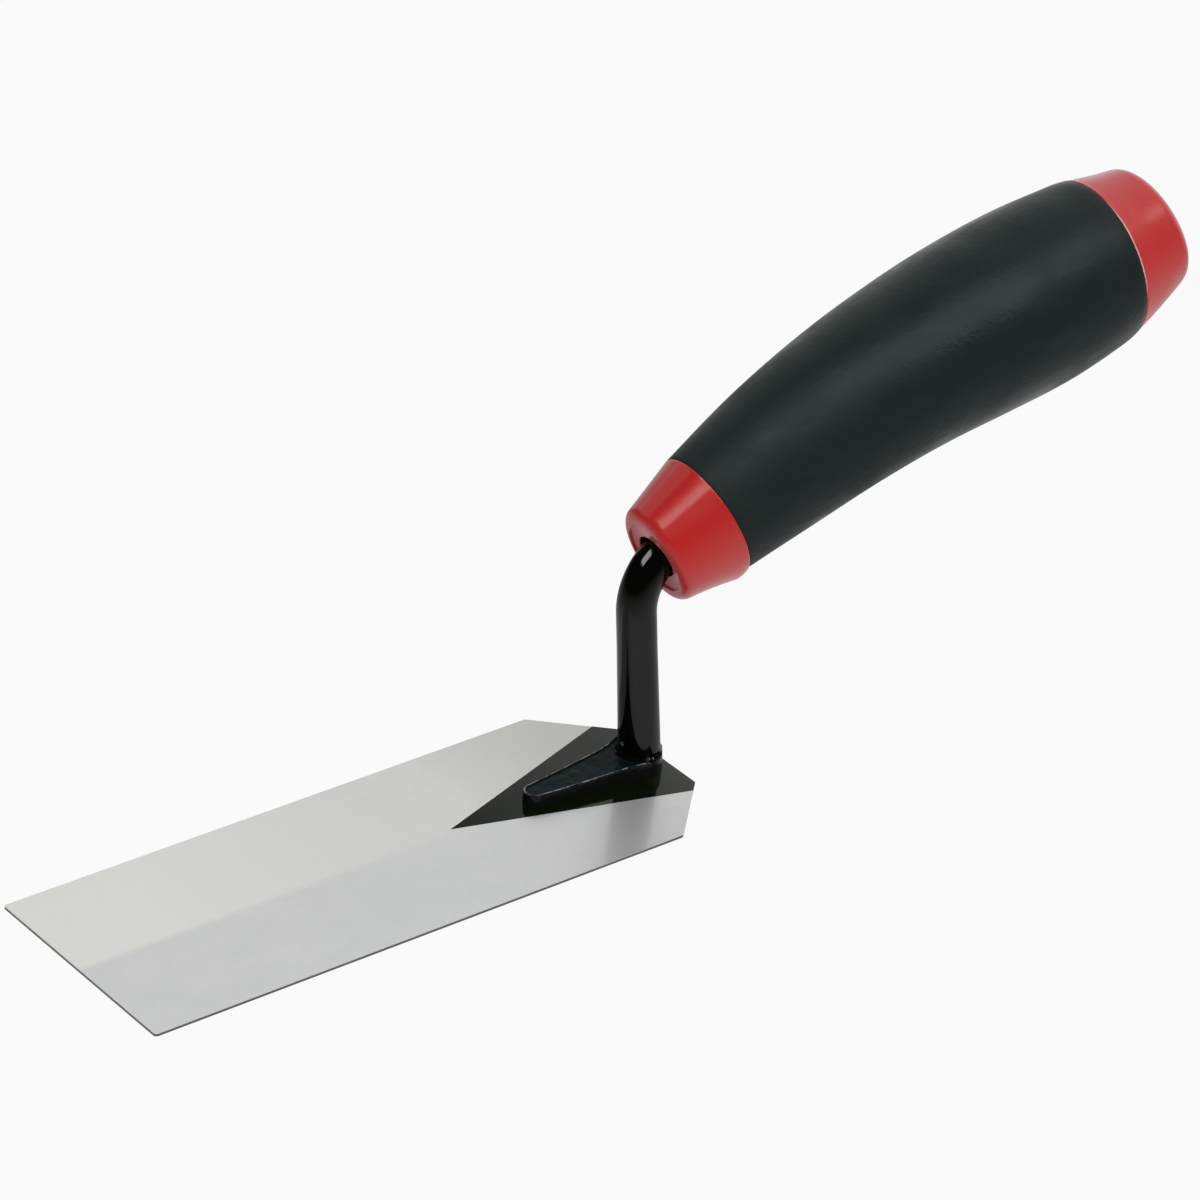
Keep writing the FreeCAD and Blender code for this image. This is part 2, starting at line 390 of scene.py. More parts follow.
def spread(tree, value, low, high, out_low, out_high):
    """Maps value from low..high to out_low..out_high, and holds it there."""
    node = add(tree, "MapRange", {"clamp": True}, Value=value)
    node.inputs["From Min"].default_value = low
    node.inputs["From Max"].default_value = high
    node.inputs["To Min"].default_value = out_low
    node.inputs["To Max"].default_value = out_high
    return node.outputs["Result"]


def blend(tree, factor, a, b):
    """Mixes two colours: a where factor is 0, and b where it is 1."""
    # Inputs 6 and 7 of a Mix node are its two colours, and output 2 is the mixed one.
    return add(tree, "Mix", {"data_type": "RGBA"}, i0=factor, i6=a, i7=b).outputs[2]


def maths(tree, operation, a, b=0.0):
    """One arithmetic step on two values."""
    return add(tree, "Math", {"operation": operation}, i0=a, i1=b).outputs[0]


def bump(tree, height, distance, strength, normal=None):
    """A bump from height 0..1, where 1 stands distance metres high, on top of an earlier normal."""
    node = add(tree, "Bump", Height=height, Distance=distance, Strength=strength)
    if normal is not None:
        tree.links.new(normal, node.inputs["Normal"])
    return node.outputs["Normal"]


def finish_material(tree, output, **inputs):
    """Joins a Principled shader with the given inputs to the material's output."""
    shader = add(tree, "BsdfPrincipled", **inputs)
    tree.links.new(shader.outputs["BSDF"], output.inputs["Surface"])


# ------------------------ materials


def ground_steel():
    """Bright ground spring steel, ground in one pass of the wheel on each side of the centre line, with
    its far half painted lighter as painted light.
    """
    material, tree, output = new_material("ground_steel")
    here = place(tree)
    parts = add(tree, "SeparateXYZ", Vector=here).outputs
    side = spread(tree, parts["Y"], -0.0012, 0.0006, 0.0, 1.0)
    grain = pattern(tree, place(tree, (0.35, 1.0, 1.0)), 1500.0, detail=5.0, roughness=0.65)
    mottle = pattern(tree, place(tree, (0.5, 1.0, 1.0)), 160.0, detail=3.0)
    cloud = pattern(tree, here, 28.0, detail=2.0)
    # Painted light: the far half is painted lighter than the near half, for how the light falls on the
    # two halves.
    tone = blend(tree, side, (0.552, 0.563, 0.560, 1), (0.600, 0.603, 0.578, 1))
    tone = blend(tree, spread(tree, mottle, 0.35, 0.7, 0.0, 0.35), tone, (0.625, 0.63, 0.622, 1))
    tone = blend(tree, spread(tree, cloud, 0.4, 0.7, 0.0, 0.25), tone, (0.53, 0.555, 0.555, 1))
    tone = blend(tree, spread(tree, grain, 0.35, 0.75, 0.0, 0.25), tone, (0.47, 0.47, 0.46, 1))
    # The far side is painted brighter towards its front, and darker towards its heel as painted shade.
    front = maths(tree, "MULTIPLY", side, spread(tree, parts["X"], -0.045, 0.010, 0.9, 0.0))
    tone = blend(tree, front, tone, (0.665, 0.668, 0.640, 1))
    heel = maths(tree, "MULTIPLY", side, spread(tree, parts["X"], 0.025, 0.056, 0.0, 0.75))
    tone = blend(tree, heel, tone, (0.40, 0.405, 0.375, 1))
    # The cut edges are darker than the two ground faces.
    above_middle = maths(tree, "SUBTRACT", parts["Z"], BLADE_THICKNESS / 2 * MM)
    edge = spread(tree, maths(tree, "ABSOLUTE", above_middle), 0.00020, 0.00027, 1.0, 0.0)
    tone = blend(tree, edge, tone, (0.10, 0.10, 0.095, 1))
    rough = spread(tree, grain, 0.2, 0.8, 0.28, 0.38)
    normal = bump(tree, grain, 0.000008, 0.5)
    finish_material(
        tree,
        output,
        Base_Color=tone,
        Metallic=0.45,
        Roughness=rough,
        Normal=normal,
        Coat_Weight=0.9,
        Coat_Roughness=0.10,
        Coat_IOR=1.45,
    )
    return material


def heel_lacquer():
    """Black lacquer sprayed thin over the ground heel, so the wheel's marks hardly show through."""
    material, tree, output = new_material("heel_lacquer")
    here = place(tree)
    along = along_axis(tree, here, "X")
    behind = spread(tree, along, 0.060, 0.068, 0.0, 1.0)
    orange_peel = pattern(tree, here, 420.0, detail=2.0)
    dust = pattern(tree, here, 2600.0, detail=3.0)
    tone = blend(tree, orange_peel, (0.0030, 0.0052, 0.0012, 1), (0.0046, 0.0072, 0.0024, 1))
    tone = blend(tree, behind, tone, (0.017, 0.022, 0.013, 1))
    rough = spread(tree, dust, 0.3, 0.7, 0.04, 0.07)
    gloss = spread(tree, along, 0.018, 0.050, 1.14, 1.29)
    normal = bump(tree, orange_peel, 0.000003, 0.4)
    finish_material(tree, output, Base_Color=tone, Roughness=rough, IOR=gloss, Normal=normal)
    return material


def shank_lacquer():
    """Glossy black lacquer on the rod and the bead, with slight runs along the rod."""
    material, tree, output = new_material("shank_lacquer")
    runs = pattern(tree, place(tree, (1.0, 1.0, 0.3)), 260.0, detail=2.0)
    fine = pattern(tree, place(tree), 1800.0, detail=3.0)
    tone = blend(tree, runs, (0.0006, 0.0006, 0.0003, 1), (0.0016, 0.0016, 0.0010, 1))
    rough = spread(tree, fine, 0.3, 0.7, 0.06, 0.10)
    normal = bump(tree, runs, 0.00003, 0.35)
    normal = bump(tree, fine, 0.000002, 0.4, normal)
    finish_material(tree, output, Base_Color=tone, Roughness=rough, IOR=1.48, Normal=normal)
    return material


def foot_lacquer():
    """The same lacquer over the rough forged foot, with the up-facing web painted slightly blue as a
    painted reflection of the sky.
    """
    material, tree, output = new_material("foot_lacquer")
    here = place(tree)
    pits = pattern(tree, here, 900.0, detail=6.0, roughness=0.65)
    patch = pattern(tree, here, 330.0, detail=3.0)
    scratch = pattern(tree, place(tree, (0.15, 1.0, 2.5)), 1500.0, detail=2.0)
    upward = spread(tree, along_axis(tree, surface_direction(tree), "Z"), 0.3, 0.8, 0.0, 1.0)
    scratched = spread(tree, scratch, 0.64, 0.72, 0.0, 1.0)
    wall = blend(tree, scratched, (0.0058, 0.0062, 0.0055, 1), (0.022, 0.022, 0.020, 1))
    # Painted reflection: up-facing faces get a bluish tint for the sky they reflect.
    web_sky_reflection = blend(tree, patch, (0.0018, 0.0042, 0.0050, 1), (0.0045, 0.0125, 0.0150, 1))
    tone = blend(tree, upward, wall, web_sky_reflection)
    gloss = spread(tree, upward, 0.0, 1.0, 1.32, 1.12)
    rough = spread(tree, patch, 0.3, 0.7, 0.12, 0.24)
    normal = bump(tree, patch, 0.00022, 0.6)
    normal = bump(tree, pits, 0.00006, 0.6, normal)
    finish_material(tree, output, Base_Color=tone, Roughness=rough, IOR=gloss, Normal=normal)
    return material


def crest_highlight():
    """The foot's rim crest, painted light grey in patches as a painted highlight along its edge."""
    material, tree, output = new_material("crest_highlight")
    here = place(tree)
    blotch_noise = pattern(tree, here, 520.0, detail=4.0, roughness=0.6)
    fine = pattern(tree, here, 2200.0, detail=3.0)
    # Painted highlight: in these patches the crest turns from black to light grey.
    highlight_patches = spread(tree, blotch_noise, 0.43, 0.60, 0.0, 1.0)
    tone = blend(tree, highlight_patches, (0.014, 0.018, 0.020, 1), (0.22, 0.235, 0.235, 1))
    rough = spread(tree, fine, 0.3, 0.7, 0.18, 0.34)
    normal = bump(tree, blotch_noise, 0.00008, 0.5)
    finish_material(tree, output, Base_Color=tone, Roughness=rough, IOR=1.45, Normal=normal)
    return material


def red_plastic():
    """Moulded red plastic with a soft gloss and a fine moulding texture."""
    material, tree, output = new_material("red_plastic")
    here = place(tree)
    sink = pattern(tree, here, 70.0, detail=2.0)
    fine = pattern(tree, here, 2400.0, detail=4.0)
    blotch_noise = pattern(tree, here, 160.0, detail=3.0)
    tone = blend(tree, sink, (0.388, 0.0150, 0.0145, 1), (0.422, 0.0180, 0.0170, 1))
    # The pommel is handled more: it is duller than the collar, and slightly uneven.
    pommel = spread(tree, along_axis(tree, here, "X"), 0.10, 0.16, 0.0, 1.0)
    dull = maths(tree, "MULTIPLY", pommel, 0.11)
    rough = maths(tree, "ADD", spread(tree, blotch_noise, 0.35, 0.75, 0.13, 0.19), dull)
    dents = maths(tree, "MULTIPLY", pommel, pattern(tree, here, 80.0, detail=1.0))
    # The collar's face has less gloss than its sides.
    ahead = (-math.cos(SPINE_ANGLES[0]), 0.0, -math.sin(SPINE_ANGLES[0]))
    on_face = alignment(tree, surface_direction(tree), ahead)
    gloss = spread(tree, on_face, 0.92, 0.97, 1.48, 1.30)
    normal = bump(tree, dents, 0.0009, 0.5)
    normal = bump(tree, fine, 0.000003, 0.3, normal)
    finish_material(
        tree,
        output,
        Base_Color=tone,
        Roughness=rough,
        IOR=gloss,
        Normal=normal,
        Sheen_Weight=0.12,
        Sheen_Roughness=0.45,
    )
    return material


def joint_highlight_line():
    """A painted highlight: a paler line along the red plastic's edge beside the grip."""
    material, tree, output = new_material("joint_highlight_line")
    here = place(tree)
    height = along_axis(tree, here, "Z")
    thin = pattern(tree, here, 350.0, detail=3.0)
    # The painted highlight shows only between two heights, and is fainter in places.
    start = spread(tree, height, 0.080, 0.086, 0.0, 1.0)
    stop = spread(tree, height, 0.096, 0.099, 1.0, 0.0)
    uneven = spread(tree, thin, 0.3, 0.5, 0.5, 1.0)
    pale = maths(tree, "MULTIPLY", maths(tree, "MULTIPLY", start, stop), uneven)
    tone = blend(tree, pale, (0.42, 0.016, 0.015, 1), (0.66, 0.40, 0.36, 1))
    rough = spread(tree, thin, 0.3, 0.7, 0.2, 0.35)
    finish_material(tree, output, Base_Color=tone, Roughness=rough, IOR=1.48)
    return material


def soft_grip():
    """Dark soft-touch elastomer: a satin, faintly leathery skin with handling marks."""
    material, tree, output = new_material("soft_grip")
    here = place(tree)
    skin_grain = pattern(tree, here, 3200.0, detail=3.0)
    marks = pattern(tree, place(tree, (0.35, 1.0, 1.0)), 240.0, detail=4.0, distortion=0.6)
    cloud = pattern(tree, here, 45.0, detail=2.0)
    tone = blend(tree, cloud, (0.0085, 0.0135, 0.0130, 1), (0.0115, 0.0170, 0.0165, 1))
    tone = blend(tree, spread(tree, marks, 0.5, 0.75, 0.0, 0.6), tone, (0.015, 0.022, 0.022, 1))
    sheen = maths(tree, "ADD", maths(tree, "MULTIPLY", marks, 0.4), maths(tree, "MULTIPLY", cloud, 0.6))
    # The skin is duller beside the collar.
    dull = spread(tree, along_axis(tree, here, "X"), 0.080, 0.125, 0.16, 0.0)
    rough = maths(tree, "ADD", spread(tree, sheen, 0.38, 0.62, 0.41, 0.20), dull)
    waves = pattern(tree, here, 60.0, detail=1.0)
    leather = pattern(tree, here, 800.0, detail=3.0)
    normal = bump(tree, waves, 0.0012, 0.5)
    normal = bump(tree, leather, 0.00015, 0.5, normal)
    normal = bump(tree, skin_grain, 0.00001, 0.4, normal)
    finish_material(tree, output, Base_Color=tone, Roughness=rough, IOR=1.21, Normal=normal)
    return material


def weld_steel():
    """Dull grey weld metal with heat tints."""
    material, tree, output = new_material("weld_steel")
    here = place(tree)
    ripple = pattern(tree, here, 1400.0, detail=4.0)
    tint = pattern(tree, here, 500.0, detail=2.0)
    tone = blend(tree, tint, (0.52, 0.52, 0.51, 1), (0.66, 0.64, 0.60, 1))
    rough = spread(tree, ripple, 0.3, 0.7, 0.35, 0.6)
    normal = bump(tree, ripple, 0.00008, 0.6)
    finish_material(tree, output, Base_Color=tone, Metallic=1.0, Roughness=rough, Normal=normal)
    return material


# ------------------------ blade and heel


def heel_side_y(x):
    """Half width of the blade along the heel's slanting sides."""
    back = (x - (BACK_X - HEEL_LENGTH)) / HEEL_LENGTH
    return (BLADE_WIDTH * (1 - back) + HEEL_EDGE_WIDTH * back) / 2


def make_blade(material):
    """The blade's plate, with rounded corners and a fine bevel."""
    half = BLADE_WIDTH / 2
    heel = HEEL_EDGE_WIDTH / 2
    shoulder = BACK_X - HEEL_LENGTH
    corners = [
        (FRONT_X, -half, BLADE_CORNER_RADIUS),
        (shoulder, -half, BLADE_CORNER_RADIUS),
        (BACK_X, -heel, HEEL_CORNER_RADIUS),
        (BACK_X, heel, HEEL_CORNER_RADIUS),
        (shoulder, half, BLADE_CORNER_RADIUS),
        (FRONT_X, half, BLADE_CORNER_RADIUS),
    ]
    points, faces = capped_plate(rounded_outline(corners), 0.0, BLADE_THICKNESS, BLADE_BEVEL)
    return add_piece("blade", points, faces, material, "blade")


def make_heel_film(material):
    """The lacquer's skin over the heel: a V on top, wrapped just over the heel's edges."""
    out = FILM_THICKNESS
    heel = HEEL_EDGE_WIDTH / 2
    corners = [
        (*FILM_TIP, 0.0),
        (FILM_NEAR_X, -heel_side_y(FILM_NEAR_X) - out, 0.0),
        (BACK_X + out, -heel - out / 2, HEEL_CORNER_RADIUS),
        (BACK_X + out, heel + out / 2, HEEL_CORNER_RADIUS),
        (FILM_FAR_X, heel_side_y(FILM_FAR_X) + out, 0.0),
    ]
    top = BLADE_THICKNESS + FILM_THICKNESS
    points, faces = capped_plate(rounded_outline(corners), FILM_BOTTOM, top, FILM_THICKNESS / 2)
    add_piece("heel_lacquer", points, faces, material, None)


# ------------------------ foot


def foot_outline():
    """Counterclockwise loop round the foot: nose, near side, flare, back, far flare and far side."""
    spacing = 0.3
    centre_x = FOOT_NOSE_X + FOOT_NOSE_RADIUS
    run = FOOT_FLARE_X - centre_x
    reach = math.hypot(run, FOOT_FLARE_HALF_WIDTH)
    side = math.asin(FOOT_NOSE_RADIUS / reach) - math.atan2(FOOT_FLARE_HALF_WIDTH, run)
    touch_x = centre_x + math.sin(side) * FOOT_NOSE_RADIUS
    touch_y = math.cos(side) * FOOT_NOSE_RADIUS
    bow_x = (FOOT_FLARE_X + FOOT_EAR_X) / 2 + FOOT_FLARE_BOW_BACK
    bow_y = (FOOT_FLARE_HALF_WIDTH + FOOT_EAR_HALF_WIDTH) / 2 - FOOT_FLARE_BOW_IN
    near = -1
    loop = arc_points((touch_x, touch_y), (FOOT_NOSE_X, 0), (touch_x, near * touch_y), spacing)
    flare_near = (FOOT_FLARE_X, near * FOOT_FLARE_HALF_WIDTH)
    ear_near = (FOOT_EAR_X, near * FOOT_EAR_HALF_WIDTH)
    flare_far = (FOOT_FLARE_X, FOOT_FLARE_HALF_WIDTH)
    ear_far = (FOOT_EAR_X, FOOT_EAR_HALF_WIDTH)
    loop += line_points((touch_x, near * touch_y), flare_near, spacing)
    loop += arc_points(flare_near, (bow_x, near * bow_y), ear_near, spacing)
    loop += arc_points(ear_near, (FOOT_BACK_X, 0), ear_far, spacing)
    loop += arc_points(ear_far, (bow_x, bow_y), flare_far, spacing)
    loop += line_points(flare_far, (touch_x, touch_y), spacing)
    return loop


def foot_top(x):
    """Height of the foot's rim: it climbs slowly from the nose, then faster to the shank."""
    t = min(1.0, max(0.0, (x - FOOT_NOSE_X) / (FOOT_EAR_X - FOOT_NOSE_X)))
    climb = 0.35 * t + 0.65 * t**3
    return FOOT_NOSE_TOP + (FOOT_BACK_TOP - FOOT_NOSE_TOP) * climb


# Cross-section of the foot's wall and rim: distance in from the outline, share of the wall's
# height, and height above or below the rim.
FOOT_PROFILE = (
    (0.00, 0.0, -0.02),
    (0.02, 0.2, 0.00),
    (0.05, 0.4, 0.00),
    (0.08, 0.6, 0.00),
    (0.12, 0.8, 0.00),
    (0.16, 1.0, -0.28),
    (0.19, 1.0, -0.12),
    (0.25, 1.0, -0.02),
    (0.34, 1.0, 0.02),
    (0.43, 1.0, -0.03),
    (0.50, 1.0, -0.13),
    (0.58, 1.0, -0.24),
    (0.70, 1.0, -0.32),
    (0.90, 1.0, -0.36),
)

# The crest's painted highlight: the profile's rows that it covers, and how far back it goes on each
# side.
CREST_ROWS = (6, 9)
CREST_NEAR_STOP = 61.8
CREST_FAR_STOP = 59.6

WEB_RINGS = 9


def forged_lumps(point, broad, small):
    """Unevenness of the forged surface: broad lumps and small ones, each about as high as given."""
    return lumps(point, 2.2, 3.0) * broad + lumps(point, 0.8, 5.0) * small


def foot_ring(outline, inset, share, lift):
    """One ring of the foot's wall or rim."""
    ring = []
    base = BLADE_THICKNESS
    for edge, p in zip(outline, offset_loop(outline, -inset)):
        top = foot_top(edge.x)
        z = base + (top - base) * share + lift
        rough = forged_lumps((p.x, p.y, z), 0.06, 0.03) if share else 0.0
        ring.append(Vector((p.x, p.y, z + rough)))
    return ring


def make_foot(material, crest):
    """The foot's wall, its raised rim with a painted highlight on its crest, and the sunken web inside
    it.
    """
    outline = foot_outline()
    rings = [foot_ring(outline, *row) for row in FOOT_PROFILE]
    rim = offset_loop(outline, -FOOT_PROFILE[-1][0])
    centre_x = FOOT_NOSE_X + FOOT_NOSE_RADIUS
    for i in range(1, WEB_RINGS + 1):
        ring = []
        for p in rim:
            middle = Vector((min(max(p.x, centre_x), FOOT_EAR_X), 0, 0))
            q = p.lerp(middle, i / WEB_RINGS)
            rough = forged_lumps((q.x, q.y, 0), 0.08, 0.05)
            ring.append(Vector((q.x, q.y, foot_top(q.x) + FOOT_PROFILE[-1][2] + rough)))
        rings.append(ring)
    points, faces = skin(rings)
    faces.append(tuple(range(len(outline))))
    foot = add_piece("foot", points, faces, material, "foot", sharp_angle=80.0)
    foot.data.materials.append(crest)
    for i in range(CREST_ROWS[0] * len(outline), CREST_ROWS[1] * len(outline)):
        face = foot.data.polygons[i]
        stop = CREST_NEAR_STOP if face.center.y < 0 else CREST_FAR_STOP
        if face.center.x < stop * MM:
            face.material_index = 1


# ------------------------ shank and bead


def shank_frame():
    """The shank's base, its bend's start, centre and angle, and the directions before and after."""
    up = Vector((-math.sin(SHANK_LEAN), 0, math.cos(SHANK_LEAN)))
    back = Vector((math.cos(SPINE_ANGLES[0]), 0, math.sin(SPINE_ANGLES[0])))
    base = Vector((SHANK_BASE_X, 0, SHANK_BASE_Z))
    across = Vector((FACE_X, 0, FACE_Z)) - base
    cross = up.x * back.z - up.z * back.x
    corner = base + up * ((across.x * back.z - across.z * back.x) / cross)
    angle = up.angle(back)
    setback = BEND_RADIUS * math.tan(angle / 2)
    bend_start = corner - up * setback
    bend_centre = bend_start + Vector((up.z, 0, -up.x)) * BEND_RADIUS
    return base, bend_start, bend_centre, angle, up, back


def circle_ring(centre, direction, radius, count=72):
    """A ring square to a direction that lies in the XZ plane."""
    side = Vector((0, 1, 0))
    up = Vector((-direction.z, 0, direction.x))
    ring = []
    for i in range(count):
        a = 2 * math.pi * i / count
        ring.append(centre + side * (math.cos(a) * radius) + up * (math.sin(a) * radius))
    return ring


def make_shank(material):
    """The rod from its root in the foot, through the bend, to the tang's barbs and point."""
    base, bend_start, bend_centre, angle, up, back = shank_frame()
    straight = (bend_start - base).length
    rings = [circle_ring(base - up * SHANK_ROOT_DEPTH, up, 0.0)]
    steps = 40
    for i in range(steps + 1):
        d = (straight + SHANK_ROOT_DEPTH) * i / steps - SHANK_ROOT_DEPTH
        share = min(1.0, max(0.0, d / SHANK_TAPER_LENGTH))
        radius = SHANK_BASE_RADIUS + (SHANK_RADIUS - SHANK_BASE_RADIUS) * share
        rings.append(circle_ring(base + up * d, up, radius))
    arm = bend_start - bend_centre
    steps = 28
    for i in range(1, steps + 1):
        turn = Matrix.Rotation(angle * i / steps, 3, "Y")
        rings.append(circle_ring(bend_centre + turn @ arm, turn @ up, SHANK_RADIUS))
    bend_end = bend_centre + Matrix.Rotation(angle, 3, "Y") @ arm
    tip = Vector((FACE_X, 0, FACE_Z)) + back * TANG_LENGTH
    rod = (tip - bend_end).length - TANG_POINT_LENGTH
    barbed = rod - (BARB_COUNT - 1) * BARB_PITCH
    step_width = 0.02
    for i in range(BARB_COUNT):
        d = barbed + i * BARB_PITCH
        rings.append(circle_ring(bend_end + back * (d - BARB_WIDTH), back, SHANK_RADIUS))
        rings.append(circle_ring(bend_end + back * (d - step_width), back, SHANK_RADIUS - BARB_DEPTH))
        rings.append(circle_ring(bend_end + back * d, back, SHANK_RADIUS))
    rings.append(circle_ring(tip, back, TANG_POINT_RADIUS))
    rings.append(circle_ring(tip, back, 0.0))
    points, faces = skin(rings)
    return add_piece("shank", points, faces, material, "shank")


# Cross-section of the bead, from the shank's side down to the web: share of its reach out from the
# shank, and share of its height.
BEAD_PROFILE = (
    (0.0, 0.4),
    (0.0, 1.0),
    (0.08, 1.02),
    (0.2, 0.86),
    (0.34, 0.62),
    (0.52, 0.40),
    (0.72, 0.22),
    (0.9, 0.08),
    (1.0, -0.1),
    (1.05, -0.5),
    (0.0, -0.5),
)


def make_bead(material):
    """The weld's uneven fillet between the shank and the foot, widest in front of the shank."""
    base, _, _, _, up, _ = shank_frame()
    rearward = Vector((up.z, 0, -up.x))
    count = 120
    inner = SHANK_BASE_RADIUS - BEAD_OVERLAP
    rings = []
    for out, high in BEAD_PROFILE:
        ring = []
        for i in range(count):
            a = 2 * math.pi * i / count
            way = Vector((math.cos(a), math.sin(a), 0))
            front = max(0.0, -way.x)
            reach = BEAD_REACH * (0.6 + 0.9 * front) + 0.15 * lumps(way * 3, 0.9, 8.0)
            height = BEAD_HEIGHT * (0.85 + 0.25 * lumps(way * 3, 1.1, 11.0))
            radius = inner + reach * out
            z = height * high
            bulge = 0.10 * lumps(way * (radius * 2) + Vector((0, 0, z * 2)), 1.0, 14.0)
            if 0.05 < out < 1.0:
                radius += bulge
                z += bulge
            flat = rearward * (way.x * radius) + Vector((0, way.y * radius, 0))
            ring.append(base + flat + up * z)
        rings.append(ring)
    points, faces = skin(rings, closed=True)
    name = "shank_weld_bead"
    add_piece(name, points, faces, material, name, sharp_angle=80.0)


def make_glinting_spatter(material):
    """Small uneven drops of bare weld metal beside the bead, whose grey also stands in for the bead's
    glints as painted highlights.
    """
    points = []
    faces = []
    rows = 8
    count = 16
    for *place_of_drop, radius in SPATTER_GLINTS:
        centre = Vector(place_of_drop)
        first = len(points)
        for i in range(rows + 1):
            tilt = math.pi * i / rows
            out = math.sin(tilt)
            for j in range(count):
                turn = 2 * math.pi * j / count
                way = Vector((out * math.cos(turn), out * math.sin(turn), math.cos(tilt)))
                size = radius * (1 + 0.35 * lumps(way + centre, 0.9, 17.0))
                points.append(centre + way * size)
        for i in range(rows):
            for j in range(count):
                low = first + i * count
                k = (j + 1) % count
                faces.append((low + j, low + k, low + count + k, low + count + j))
    add_piece("weld_spatter_glints", points, faces, material, None, sharp_angle=80.0)


# ------------------------ handle


def spine_angle(distance):
    """Direction of the handle's centre line: the cubic through the four driving angles."""
    last = len(SPINE_ANGLES) - 1
    t = last * distance / SPINE_LENGTH
    total = 0.0
    for i, angle in enumerate(SPINE_ANGLES):
        weight = 1.0
        for j in range(last + 1):
            if j != i:
                weight *= (t - j) / (i - j)
        total += weight * angle
    return total


def spine_point(distance):
    """Point on the handle's centre line, found by walking along it in small steps."""
    steps = max(1, math.ceil(distance / SPINE_STEP))
    length = distance / steps
    x = FACE_X
    z = FACE_Z
    for i in range(steps):
        angle = spine_angle((i + 0.5) * length)
        x += length * math.cos(angle)
        z += length * math.sin(angle)
    return Vector((x, 0, z))


def oval_ring(distance, half_width, half_height, sag=0.0):
    """An upright oval ring square to the handle's centre line. Its lower half hangs down by sag."""
    angle = spine_angle(distance)
    up = Vector((-math.sin(angle), 0, math.cos(angle)))
    centre = spine_point(distance)
    ring = []
    for i in range(OVAL_POINTS):
        a = 2 * math.pi * i / OVAL_POINTS
        height = math.sin(a) * half_height - sag * max(0.0, -math.sin(a)) ** 2
        ring.append(centre + Vector((0, math.cos(a) * half_width, 0)) + up * height)
    return ring


def collar_sag(distance):
    """How far the collar's lower side hangs down: more toward the grip, and rounded off beside it."""
    edge_start = COLLAR_LENGTH - COLLAR_SAG_EDGE
    if distance < edge_start:
        return COLLAR_SAG * (distance / edge_start) ** 2
    share = (distance - edge_start) / COLLAR_SAG_EDGE
    return COLLAR_SAG * math.sqrt(max(0.0, 1 - share**2))


def pommel_tuck(distance):
    """Sag of the pommel's lower side: negative near the joint, where it is tucked in."""
    share = max(0.0, 1 - (distance - POMMEL_START) / POMMEL_TUCK_LENGTH)
    return -POMMEL_TUCK * share**2


def grip_size(distance):
    """Half width and half height of the grip, on smooth curves through its sections."""
    rows = GRIP_SECTIONS
    i = 0
    while i < len(rows) - 2 and distance > rows[i + 1][0]:
        i += 1
    low = rows[i]
    high = rows[i + 1]
    before = rows[max(0, i - 1)]
    after = rows[min(len(rows) - 1, i + 2)]
    run = high[0] - low[0]
    t = (distance - low[0]) / run
    size = []
    for k in (1, 2):
        slope_low = (high[k] - before[k]) / (high[0] - before[0]) * run
        slope_high = (after[k] - low[k]) / (after[0] - low[0]) * run
        size.append(
            low[k] * (2 * t**3 - 3 * t**2 + 1)
            + slope_low * (t**3 - 2 * t**2 + t)
            + high[k] * (3 * t**2 - 2 * t**3)
            + slope_high * (t**3 - t**2)
        )
    return size


def grip_ring(distance, inset):
    """An oval of the grip's size, moved inward by inset. Past the grip's ends its size stays."""
    half_width, half_height = grip_size(min(max(distance, COLLAR_LENGTH), POMMEL_START))
    return oval_ring(distance, half_width - inset, half_height - inset)


def grip_end_inset(distance):
    """How far the grip's skin turns in over its last few millimetres before the pommel."""
    share = max(0.0, (distance - POMMEL_START + GRIP_END_LENGTH) / GRIP_END_LENGTH)
    return GRIP_END_DEPTH * share**2


def rounded_end(face, slope, radius, steps=10):
    """Distance in from a flat end and the oval's half sizes, along the arc that rounds its rim.

    face is the sharp end's half sizes, and slope is how fast the sides grow with distance from it.
    """
    tilt = math.atan(slope)
    centre = slope * radius - radius / math.cos(tilt)
    rows = []
    for i in range(steps + 1):
        a = math.pi - (math.pi / 2 - tilt) * i / steps
        rows.append((radius + radius * math.cos(a), centre + radius * math.sin(a)))
    return [(d, face[0] + grow, face[1] + grow) for d, grow in rows]


def joint_edge(distance, half_width, half_height, toward, depth):
    """Rings over the rounded edge of a core end beside the grip, then down its wall by depth.

    toward is +1 if the grip lies beyond the edge, and -1 if it lies before it.
    """
    rings = []
    steps = 4
    for i in range(steps + 1):
        a = math.pi / 2 * i / steps
        along = JOINT_EDGE_RADIUS * (1 - math.sin(a))
        inset = JOINT_EDGE_RADIUS * (1 - math.cos(a))
        d = distance - toward * along
        sag = collar_sag(d) if toward > 0 else pommel_tuck(d)
        rings.append(oval_ring(d, half_width - inset, half_height - inset, sag))
    rings.append(oval_ring(distance, half_width - depth, half_height - depth))
    return rings


